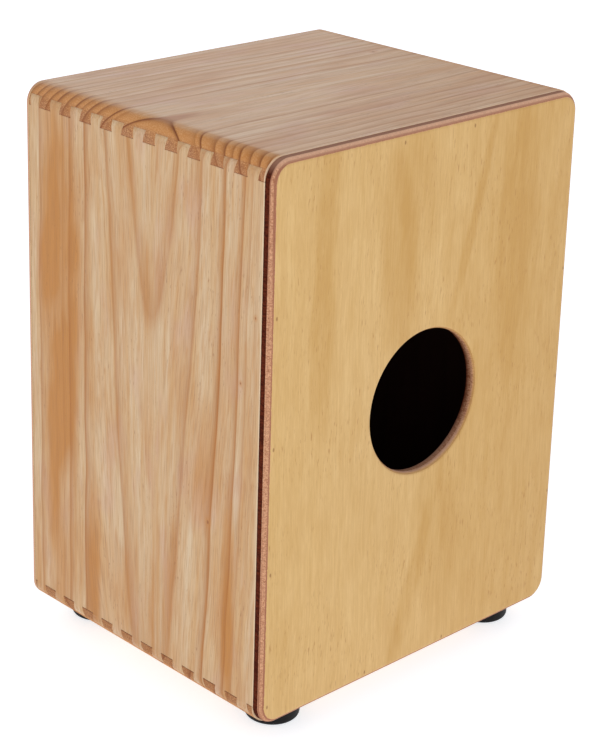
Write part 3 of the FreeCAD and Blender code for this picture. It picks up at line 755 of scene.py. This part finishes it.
# The next colour is painted light: the core's cut drawn paler and pinker where it faces up.
CORE_TOP_LIT = srgb(246, 198, 167)
# The dark ply's colours: its own dark wood, taken near black as painted shade of the gap between panel and
# box.
DARK_PLY_WITH_GAP_SHADE = srgb(58, 16, 5)
DARK_PLY_STRIPE_WITH_GAP_SHADE = srgb(98, 40, 20)
# The next colour is painted light: the dark ply's cut drawn paler where it faces up.
DARK_PLY_TOP_LIT = srgb(171, 127, 106)

# The veneer's noises: a place through it that sets them apart, then scale, squeeze and so on.
VENEER_STRANDS = (1.0, 1.6, 0.012, 3.0)
VENEER_FINE = (0.0, 1.1, 0.07, 4.0, 0.75)
VENEER_STREAKS = (4.0, 0.14, 0.2, 4.0, 0.6)
VENEER_DASHES = (6.0, 0.9, 0.06, 1.0)
VENEER_PORES = (9.0, 1.3, 0.11, 1.0)
VENEER_PORE_AREAS = (2.0, 0.022, 0.6, 2.0)
VENEER_WANDER_ACROSS = 0.02
VENEER_WANDER_UP = 0.006
VENEER_WANDER_REACH = 7.0
PORE_LEVELS, PORE_AREA_LEVELS, PORE_SHARE = (0.63, 0.74), (0.36, 0.6), 0.5
GRAIN_DASH_LEVELS, GRAIN_DASH_SHARE = (0.45, 0.7), 0.25
STRANDED_RANGE = (-0.5, 0.5)
VENEER_STREAK_RANGE = (-0.4, 0.75)
VENEER_FIBRE_RANGE = (-1.2, 1.55)

# Bands of deeper colour in the rear veneer: x, height, half width, half height, slant, strength.
VENEER_BANDS = (
    (102, 317, 15, 150, 0.0, 0.55),
    (30, 309, 24, 95, 0.12, 0.6),
    (16, 365, 30, 60, 0.2, 0.4),
    (-43, 332, 7, 95, -0.28, 0.5),
    (-90, 312, 26, 140, 0.0, 0.4),
    (8, 49, 12, 95, -0.28, 0.45),
    (-20, 97, 32, 90, 0.1, 0.3),
    # The last band is broad: it darkens the panel towards its -X edge.
    (-115, 190, 130, 420, 0.0, 0.4),
)
# Filled pin holes that hold the rear panel: their x and height near its edges.
REAR_PINS = ((144, 298), (144, 207), (144, 116), (144, 16), (31, 395), (-38, 395),
             (-145, 269), (-145, 184), (-145, 90), (49, 7), (-32, 6))
PIN_SQUASH = 0.55
PIN_FADE, PIN_SHARE = (1.05, 0.45), 0.7
VENEER_ROUGHNESS = (0.38, 0.52)
VENEER_GLOSS = 0.3
VENEER_RELIEF = 0.03
FIBRE_RISE = 0.6

# The ragged border between veneer and core: its noise, its reach and how sharp it is.
RAGGED = dict(scale=0.35, detail=4.0, roughness=0.65)
RAGGED_RANGE = (-0.5, 0.5)
BORDER_FADE = 0.04

# Where a cut faces up it is painted paler, as light and sheen from above: leans of the normal, and the
# paler colour's share.
TOP_LIGHT_LEANS = (0.35, 0.95)
CORE_TOP_LIGHT_SHARE = 0.7
DARK_TOP_LIGHT_SHARE = 0.85

# Noises on cut ends: their stretch in X, Y and Z, then scale, detail and roughness.
CORE_STRIPES = ((1.0, 0.25, 1.0), 1.1, 3.0, 0.65)
CORE_PITS = ((1.0, 1.6, 1.0), 2.2, 1.0)
CORE_PLIES = ((0.0, 1.0, 0.004), 0.8, 1.0)
CORE_MOTTLE_RANGE = (-0.9, 2.1)
PLY_LEVELS = (0.45, 0.62)
PIT_LEVELS, PIT_SHARE = (0.57, 0.7), 0.6
CORE_ROUGHNESS = (0.55, 0.75)
CORE_GLOSS = 0.2
CORE_RELIEF = 0.12
DARK_STRIPES = ((1.0, 0.4, 1.0), 0.9, 3.0)
DARK_STRIPE_LEVELS = (0.3, 0.7)
DARK_ROUGHNESS = (0.7, 0.85)
DARK_GLOSS = 0.06
DARK_RELIEF = 0.1

# Where the plies are paler at the sound hole: how far past its edge, then how deep. The core's
# depth is under the panel's face; the dark ply's is over its back, and it darkens inwards as painted
# shade.
MOUTH_REACH, MOUTH_DEPTH, MOUTH_SHARE = (6.0, 4.0), (2.6, 0.8), 0.7
PALE_REACH, PALE_TO_SHADE_DEPTH, PALE_SHARE = (2.0, 1.0), (-0.6, 5.0), 0.85


def veneer_marks(graph, across, up):
    """Grain position, fibre and pores of straight-grained veneer."""
    slow = graph.join(graph.multiply(across, VENEER_WANDER_ACROSS), 0.0,
                      graph.multiply(up, VENEER_WANDER_UP))
    wander = graph.span(graph.noise(slow, 1.0), -VENEER_WANDER_REACH, VENEER_WANDER_REACH)
    grain_across = graph.add(across, wander)
    strands = graph.grain(grain_across, up, *VENEER_STRANDS)
    fine = graph.grain(grain_across, up, *VENEER_FINE)
    fibre = graph.span(graph.add(fine, strands), *STRANDED_RANGE)
    pores = graph.step(graph.grain(grain_across, up, *VENEER_PORES), *PORE_LEVELS)
    areas = graph.step(graph.grain(across, up, *VENEER_PORE_AREAS), *PORE_AREA_LEVELS)
    return grain_across, fibre, graph.multiply(pores, areas)


def veneer_colour(graph, across, up):
    """Straight-grained yellow veneer: fine upright fibre, short pores, broad soft bands."""
    grain_across, fibre, pore = veneer_marks(graph, across, up)
    dash = graph.step(graph.grain(grain_across, up, *VENEER_DASHES), *GRAIN_DASH_LEVELS)
    band = graph.span(graph.grain(grain_across, up, *VENEER_STREAKS), *VENEER_STREAK_RANGE)
    for centre_x, centre_z, half_x, half_z, slant, strength in VENEER_BANDS:
        sheared = graph.subtract(grain_across, graph.multiply(graph.subtract(up, centre_z), slant))
        streak = (centre_x, centre_z, half_x, half_z, strength)
        band = graph.add(band, ellipse_share(graph, up, sheared, streak))
    veneer = graph.mix(graph.share(band), VENEER_PALE, VENEER_BAND)
    veneer = graph.mix(graph.multiply(dash, GRAIN_DASH_SHARE), veneer, VENEER_BAND)
    veneer = graph.mix(graph.contrast(fibre, *VENEER_FIBRE_RANGE), veneer, VENEER_FIBRE)
    veneer = graph.mix(graph.multiply(pore, PORE_SHARE), veneer, VENEER_PORE)
    return veneer, fibre, pore


def veneer_skin(graph, parts):
    """1 where the face veneer is left, 0 in the core. Sanding has left the border ragged."""
    ragged = graph.noise(graph.drawn_out((1.0, 0.0, 1.0)), **RAGGED)
    level = graph.add(parts["Y"], graph.span(ragged, *RAGGED_RANGE))
    border = REAR_HIGH.y - FACE_VENEER
    return graph.step(level, border - BORDER_FADE, border + BORDER_FADE)


def top_light_share(graph, lit_share):
    """How much paler a ply is where its cut faces up: painted light and sheen on the panel's top edge."""
    return graph.multiply(graph.step(graph.normal_parts()["Z"], *TOP_LIGHT_LEANS), lit_share)


def from_hole(graph, parts):
    """Distance from the sound hole's axis."""
    return graph.length(parts["X"], graph.subtract(parts["Z"], HOLE_CENTRE.y - BASE))


def make_rear_veneer():
    """The face veneer, with the filled holes of the pins that hold the panel."""
    graph = Graph("rear_veneer")
    parts = graph.split(graph.point())
    colour, fibre, pore = veneer_colour(graph, parts["X"], parts["Z"])
    colour = graph.mix(veneer_skin(graph, parts), CORE_LIGHT, colour)
    sunk = pore
    for x, z in REAR_PINS:
        side = graph.subtract(parts["X"], x)
        length = graph.multiply(graph.subtract(parts["Z"], z), PIN_SQUASH)
        mark = graph.step(graph.length(side, length), *PIN_FADE)
        colour = graph.mix(graph.multiply(mark, PIN_SHARE), colour, PIN_FILLING)
        sunk = graph.larger(sunk, mark)
    graph.set("Base Color", colour)
    graph.set("Roughness", graph.span(fibre, *VENEER_ROUGHNESS))
    graph.set("Specular IOR Level", VENEER_GLOSS)
    graph.bump(graph.subtract(graph.multiply(fibre, FIBRE_RISE), sunk), VENEER_RELIEF)
    return graph.material


def make_rear_core():
    """Reddish cross plies: their cut ends are fine pits and short stripes through the thickness."""
    graph = Graph("rear_core")
    parts = graph.split(graph.point())
    stripes = graph.drawn_noise(*CORE_STRIPES)
    pit = graph.step(graph.drawn_noise(*CORE_PITS), *PIT_LEVELS)
    ply = graph.step(graph.drawn_noise(*CORE_PLIES), *PLY_LEVELS)
    colour = graph.mix(graph.contrast(stripes, *CORE_MOTTLE_RANGE), CORE_DARK, CORE_LIGHT)
    colour = graph.mix(ply, colour, CORE_PLY)
    colour = graph.mix(graph.multiply(pit, PIT_SHARE), colour, CORE_PIT)
    # Cuts that face up are painted paler, as light and sheen from above.
    colour = graph.mix(top_light_share(graph, CORE_TOP_LIGHT_SHARE), colour, CORE_TOP_LIT)

    # At the sound hole the sanded round carries the veneer's colour a little way in.
    near = graph.step(from_hole(graph, parts), *(HOLE_RADIUS + reach for reach in MOUTH_REACH))
    outside = graph.step(parts["Y"], *(REAR_HIGH.y - depth for depth in MOUTH_DEPTH))
    mouth = graph.multiply(graph.multiply(near, outside), MOUTH_SHARE)
    colour = graph.mix(mouth, colour, VENEER_BAND)
    colour = graph.mix(veneer_skin(graph, parts), colour, VENEER_PALE)
    graph.set("Base Color", colour)
    graph.set("Roughness", graph.span(stripes, *CORE_ROUGHNESS))
    graph.set("Specular IOR Level", CORE_GLOSS)
    graph.bump(graph.subtract(stripes, pit), CORE_RELIEF)
    return graph.material


def make_rear_dark():
    """The dark inner ply, its colour partly its own and partly painted shade of the gap between panel and
    box. Around the sound hole its cut is as pale as the core, but for its last edge, which darkens into
    the box as painted shade.
    """
    graph = Graph("rear_dark_ply")
    parts = graph.split(graph.point())
    stripes = graph.drawn_noise(*DARK_STRIPES)
    striped = graph.step(stripes, *DARK_STRIPE_LEVELS)
    # Near black: the ply's own colour with painted shade of the gap.
    dark = graph.mix(striped, DARK_PLY_WITH_GAP_SHADE, DARK_PLY_STRIPE_WITH_GAP_SHADE)
    # Where the cut faces up it is painted paler, as light from above.
    dark = graph.mix(top_light_share(graph, DARK_TOP_LIGHT_SHARE), dark, DARK_PLY_TOP_LIT)
    near = graph.step(from_hole(graph, parts), *(HOLE_RADIUS + reach for reach in PALE_REACH))
    # Near the hole the cut takes the core's colour, but darkens towards the box's inside as painted shade.
    pale = graph.multiply(near, graph.step(graph.subtract(parts["Y"], REAR_LOW.y), *PALE_TO_SHADE_DEPTH))
    core = graph.mix(striped, CORE_DARK, CORE_LIGHT)
    graph.set("Base Color", graph.mix(graph.multiply(pale, PALE_SHARE), dark, core))
    graph.set("Roughness", graph.span(stripes, *DARK_ROUGHNESS))
    graph.set("Specular IOR Level", DARK_GLOSS)
    graph.bump(stripes, DARK_RELIEF)
    return graph.material


def round_drop(height, radius):
    """How far a quarter round has pulled in at a height above where it starts."""
    return radius - math.sqrt(max(radius * radius - max(height, 0.0) ** 2, 0.0))


def panel_outline(inset):
    """The rear panel's outline in X and Z, drawn in by inset, as evenly divided points."""
    radius = CORNER_ROUND - inset
    half = REAR_HIGH.x - inset
    low, high = REAR_LOW.z + inset, REAR_HIGH.z - inset
    corners = ((half, high, 0), (-half, high, 90), (-half, low, 180), (half, low, 270))
    arcs = []
    for x, z, start in corners:
        middle = Vector((x - math.copysign(radius, x), z - radius if start < 180 else z + radius))
        angles = [math.radians(start + 90 * step / CORNER_STEPS) for step in range(CORNER_STEPS + 1)]
        arcs.append([middle + Vector((math.cos(angle), math.sin(angle))) * radius for angle in angles])
    points = []
    for arc, following, count in zip(arcs, arcs[1:] + arcs[:1], STRAIGHT_STEPS):
        points += arc
        points += [arc[-1].lerp(following[0], step / count) for step in range(1, count)]
    return points


def ply_ring(mesh, y, angles, gap):
    """One level of a ply: vertices round its outline, and round the hole at those angles."""
    inset = round_drop(y - (REAR_HIGH.y - REAR_EDGE_ROUND), REAR_EDGE_ROUND) + gap
    radius = HOLE_RADIUS + round_drop(y - (REAR_HIGH.y - HOLE_ROUND), HOLE_ROUND) + gap
    outer = [mesh.verts.new(Vector((point.x, y, point.y)) * MM) for point in panel_outline(inset)]
    inner = [mesh.verts.new(Vector((HOLE_CENTRE.x + radius * math.cos(angle), y,
                                    HOLE_CENTRE.y + radius * math.sin(angle))) * MM)
             for angle in angles]
    return outer, inner


def make_ply(name, start, end, material, levels, gap=0.0):
    """One closed ply of the rear panel from start to end in Y, set back by gap all round."""
    mesh = bmesh.new()
    angles = [math.atan2(point.y - HOLE_CENTRE.y, point.x - HOLE_CENTRE.x) for point in panel_outline(0.0)]
    count = len(angles)
    rings = [ply_ring(mesh, start + (end - start) * level / levels, angles, gap)
             for level in range(levels + 1)]
    for (low_outer, low_inner), (high_outer, high_inner) in zip(rings, rings[1:]):
        for i in range(count):
            j = (i + 1) % count
            mesh.faces.new((low_outer[i], high_outer[i], high_outer[j], low_outer[j]))
            mesh.faces.new((low_inner[j], high_inner[j], high_inner[i], low_inner[i]))
    for outer, inner, flip in ((*rings[0], False), (*rings[-1], True)):
        for i in range(count):
            j = (i + 1) % count
            face = (outer[i], outer[j], inner[j], inner[i])
            mesh.faces.new(face[::-1] if flip else face)
    bmesh.ops.recalc_face_normals(mesh, faces=mesh.faces)
    return add_ply_piece(name, mesh, material)


def add_ply_piece(name, mesh, material):
    """Turns a bmesh into a named, smooth-shaded plywood piece that rides on the box."""
    data = bpy.data.meshes.new(name)
    mesh.to_mesh(data)
    mesh.free()
    data.materials.append(material)
    data.polygons.foreach_set("use_smooth", [True] * len(data.polygons))
    data.set_sharp_from_angle(angle=math.radians(SHARP_ANGLE))
    piece = bpy.data.objects.new(name, data)
    bpy.context.scene.collection.objects.link(piece)
    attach(piece, "box")
    return piece


def make_rear_panel():
    """Dark ply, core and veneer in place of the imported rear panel."""
    dark_end = REAR_LOW.y + DARK_PLY_DEPTH
    core_end = REAR_HIGH.y - FACE_VENEER
    make_ply("rear_dark_ply", REAR_LOW.y, dark_end, make_rear_dark(), DARK_PLY_LEVELS, DARK_PLY_BACK)
    make_ply("rear_core", dark_end, core_end, make_rear_core(), CORE_LEVELS, CORE_BACK)
    veneer = make_ply("rear_veneer", core_end, REAR_HIGH.y, make_rear_veneer(), VENEER_LEVELS)
    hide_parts("rear_panel")


# The tapa's veneer is cut flat: nested arches whose lines are this far apart, and their noises.
ARCH_HALF_WIDTH = 42.0
ARCH_RISE = 30.0
ARCH_STRETCH = 0.16
ARCH_SPACING = 15.0
ARCH_STOPS = ((0.0, 0.0), (0.55, 0.25), (0.93, 1.0), (1.0, 0.0))
ARCH_WANDER = (7.0, 1.0, 0.004, 2.0)
ARCH_WANDER_ACROSS = 0.012
ARCH_WANDER_REACH = 26.0
TAPA_FINE = (3.0, 1.5, 0.02, 4.0, 0.6)
TAPA_PORES = (5.0, 1.4, 0.12, 1.0)
TAPA_CORE = ((1.0, 4.0, 1.0), 0.8, 3.0)
TAPA_PORE_LEVELS, TAPA_PORE_SHARE = (0.66, 0.75), 0.5
TAPA_PORES_IN_LINE = (0.35, 1.0)
TAPA_LINE_SHARE = 0.6
TAPA_FIBRE_RANGE = (-0.5, 0.7)
TAPA_PALE = srgb(222, 188, 136)
TAPA_LINE = srgb(192, 142, 86)
TAPA_FIBRE = srgb(180, 134, 80)
TAPA_PORE = srgb(140, 98, 58)

# Depths under the tapa's faces where its veneer ends, and where the dark stain inside begins, as
# painted shade inside the box; the stain takes only surfaces this square to Y.
TAPA_SKIN = (0.62, 0.72)
TAPA_STAIN_AND_SHADE = (0.3, 0.1)
TAPA_FACING = (0.5, 0.9)
TAPA_ROUGHNESS = (0.33, 0.45)


def tapa_figure(graph, across, up):
    """Nested arches of a flat-cut veneer, pale to dark and back at each line."""
    slow = graph.grain(graph.multiply(across, ARCH_WANDER_ACROSS), up, *ARCH_WANDER)
    figure_across = graph.add(across, graph.span(slow, -ARCH_WANDER_REACH, ARCH_WANDER_REACH))
    lift = graph.multiply(graph.square(graph.divide(figure_across, ARCH_HALF_WIDTH)), ARCH_RISE)
    place = graph.divide(graph.subtract(lift, graph.multiply(up, ARCH_STRETCH)), ARCH_SPACING)
    return graph.ramp(graph.math("FRACT", place), [(stop, grey(level)) for stop, level in ARCH_STOPS])


def make_tapa_plywood():
    """Thin plywood: figured veneer on its faces, reddish core on its edge, dark stain inside the box as
    painted shade.
    """
    graph = Graph("tapa_plywood")
    parts = graph.split(graph.point())
    line = tapa_figure(graph, parts["X"], parts["Z"])
    fibre = graph.grain(parts["X"], parts["Z"], *TAPA_FINE)
    pores = graph.step(graph.grain(parts["X"], parts["Z"], *TAPA_PORES), *TAPA_PORE_LEVELS)
    pore = graph.multiply(pores, graph.span(line, *TAPA_PORES_IN_LINE))
    veneer = graph.mix(graph.multiply(line, TAPA_LINE_SHARE), TAPA_PALE, TAPA_LINE)
    veneer = graph.mix(graph.span(fibre, *TAPA_FIBRE_RANGE), veneer, TAPA_FIBRE)
    veneer = graph.mix(graph.multiply(pore, TAPA_PORE_SHARE), veneer, TAPA_PORE)
    core = graph.mix(graph.drawn_noise(*TAPA_CORE), CORE_DARK, CORE_LIGHT)

    depth = graph.subtract(parts["Y"], TAPA_LOW.y)
    thickness = TAPA_HIGH.y - TAPA_LOW.y
    middle = graph.multiply(graph.step(depth, *TAPA_SKIN),
                            graph.step(depth, *(thickness - skin for skin in TAPA_SKIN)))
    inside = graph.step(depth, *(thickness - skin for skin in TAPA_STAIN_AND_SHADE))
    facing = graph.step(graph.size(graph.normal_parts()["Y"]), *TAPA_FACING)
    colour = graph.mix(middle, veneer, core)
    # The dark stain on the inner face paints the shade inside the box.
    colour = graph.mix(graph.multiply(inside, facing), colour, INSIDE_STAIN_AND_SHADE)
    graph.set("Base Color", colour)
    graph.set("Roughness", graph.span(fibre, *TAPA_ROUGHNESS))
    graph.bump(graph.subtract(graph.multiply(fibre, FIBRE_RISE), pore), VENEER_RELIEF)
    return graph.material


# -------- hardware materials

BEECH_PALE = srgb(206, 164, 124)
BEECH_MIDDLE = srgb(186, 140, 100)
BEECH_FIBRE = srgb(156, 108, 72)
BEECH_FLECK = srgb(146, 96, 62)
BEECH_STRETCH = (0.04, 1.0, 1.0)
BEECH_FINE = (BEECH_STRETCH, 1.2, 4.0, 0.6)
BEECH_BROAD = (BEECH_STRETCH, 0.12, 2.0)
BEECH_FLECKS = ((0.35, 1.0, 1.0), 0.9, 0.0)
FLECK_LEVELS, FLECK_SHARE = (0.66, 0.74), 0.5
BEECH_FIBRE_RANGE = (-0.1, 0.35)
BEECH_ROUGHNESS = (0.5, 0.66)
BEECH_RELIEF = 0.04

RUBBER_DARK = srgb(8, 7, 8)
RUBBER_MIDDLE = srgb(14, 12, 13)
RUBBER_DUST = srgb(26, 24, 24)
RUBBER_FINE = dict(scale=3.0, detail=3.0, roughness=0.6)
RUBBER_BROAD = dict(scale=0.12, detail=2.0)
DUST_LEVELS = (0.62, 0.75)
RUBBER_ROUGHNESS = (0.5, 0.65)
RUBBER_GLOSS = 0.2
RUBBER_RELIEF = 0.05

# Metals: colour, tint where it has tarnished, lowest and highest roughness, how metallic.
METALS = {
    "black_screw": (srgb(30, 29, 30), srgb(44, 42, 42), (0.32, 0.5), 0.6),
    "zinc_steel": (srgb(178, 180, 182), srgb(150, 152, 150), (0.22, 0.42), 1.0),
    "brass": (srgb(214, 176, 96), srgb(176, 134, 66), (0.2, 0.4), 1.0),
    "pin_steel": (srgb(150, 150, 154), srgb(118, 118, 122), (0.25, 0.45), 1.0),
    "string_steel": (srgb(196, 196, 196), srgb(160, 158, 154), (0.18, 0.34), 1.0),
}
SCRATCHES = dict(scale=2.5, detail=4.0, roughness=0.65)
TARNISH = dict(scale=0.25, detail=2.0)
TARNISH_LEVELS = (0.35, 0.75)
SCRATCH_RELIEF = 0.008

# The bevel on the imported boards' edges, and the distance under which two of their points are one.
EASED_BOARDS = ("side_panel_right", "side_panel_left", "seat_panel")
EASE_WIDTH = 0.35
EASE_ANGLE = 50
WELD_DISTANCE = 0.002


def make_beech():
    """Pinkish beech with its grain along X and small dark flecks."""
    graph = Graph("beech")
    fibre = graph.drawn_noise(*BEECH_FINE)
    fleck = graph.step(graph.drawn_noise(*BEECH_FLECKS), *FLECK_LEVELS)
    colour = graph.mix(graph.drawn_noise(*BEECH_BROAD), BEECH_PALE, BEECH_MIDDLE)
    colour = graph.mix(graph.span(fibre, *BEECH_FIBRE_RANGE), colour, BEECH_FIBRE)
    colour = graph.mix(graph.multiply(fleck, FLECK_SHARE), colour, BEECH_FLECK)
    graph.set("Base Color", colour)
    graph.set("Roughness", graph.span(fibre, *BEECH_ROUGHNESS))
    graph.bump(fibre, BEECH_RELIEF)
    return graph.material


def make_rubber():
    """Matt black rubber with a fine dusty grain."""
    graph = Graph("rubber")
    fine = graph.noise(graph.point(), **RUBBER_FINE)
    broad = graph.noise(graph.point(), **RUBBER_BROAD)
    colour = graph.mix(broad, RUBBER_DARK, RUBBER_MIDDLE)
    colour = graph.mix(graph.step(fine, *DUST_LEVELS), colour, RUBBER_DUST)
    graph.set("Base Color", colour)
    graph.set("Roughness", graph.span(broad, *RUBBER_ROUGHNESS))
    graph.set("Specular IOR Level", RUBBER_GLOSS)
    graph.bump(fine, RUBBER_RELIEF)
    return graph.material


def make_metal(name, base, tint, roughness, metallic):
    """A plated or bare metal with fine scratches and slight tarnish."""
    graph = Graph(name)
    fine = graph.noise(graph.point(), **SCRATCHES)
    broad = graph.noise(graph.point(), **TARNISH)
    graph.set("Base Color", graph.mix(graph.step(broad, *TARNISH_LEVELS), base, tint))
    graph.set("Metallic", metallic)
    graph.set("Roughness", graph.span(fine, *roughness))
    graph.bump(fine, SCRATCH_RELIEF)
    return graph.material


def finish_node(node, material):
    """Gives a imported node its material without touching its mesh."""
    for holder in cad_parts[node].material_slots:
        holder.link = "OBJECT"
        holder.material = material


def finish_nodes():
    """The boards and the tapa have materials of their own; the rest go by their packed slots."""
    finish_node("side_panel_right", make_pine(RIGHT_BOARD))
    finish_node("side_panel_left", make_pine(LEFT_BOARD))
    finish_node("seat_panel", make_pine(SEAT_BOARD))
    finish_node("bottom_panel", make_pine(BASE_BOARD))
    finish_node("tapa", make_tapa_plywood())
    by_slot = {"beech": make_beech(), "rubber": make_rubber()}
    for name, look in METALS.items():
        by_slot[name] = make_metal(name, *look)
    for name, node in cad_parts.items():
        slots = [holder.material.name for holder in node.material_slots]
        for slot, material in by_slot.items():
            if slot in slots:
                finish_node(name, material)


def ease_edges(node):
    """Takes the sharpness off a packed board's edges, so that they catch the light."""
    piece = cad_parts[node]
    weld = piece.modifiers.new("weld", "WELD")
    weld.merge_threshold = WELD_DISTANCE * MM
    ease = piece.modifiers.new("ease", "BEVEL")
    ease.width = EASE_WIDTH * MM
    ease.segments = 2
    ease.limit_method = "ANGLE"
    ease.angle_limit = math.radians(EASE_ANGLE)
    ease.harden_normals = True


make_camera()
make_studio()
finish_nodes()
make_rear_panel()
for board in EASED_BOARDS:
    ease_edges(board)
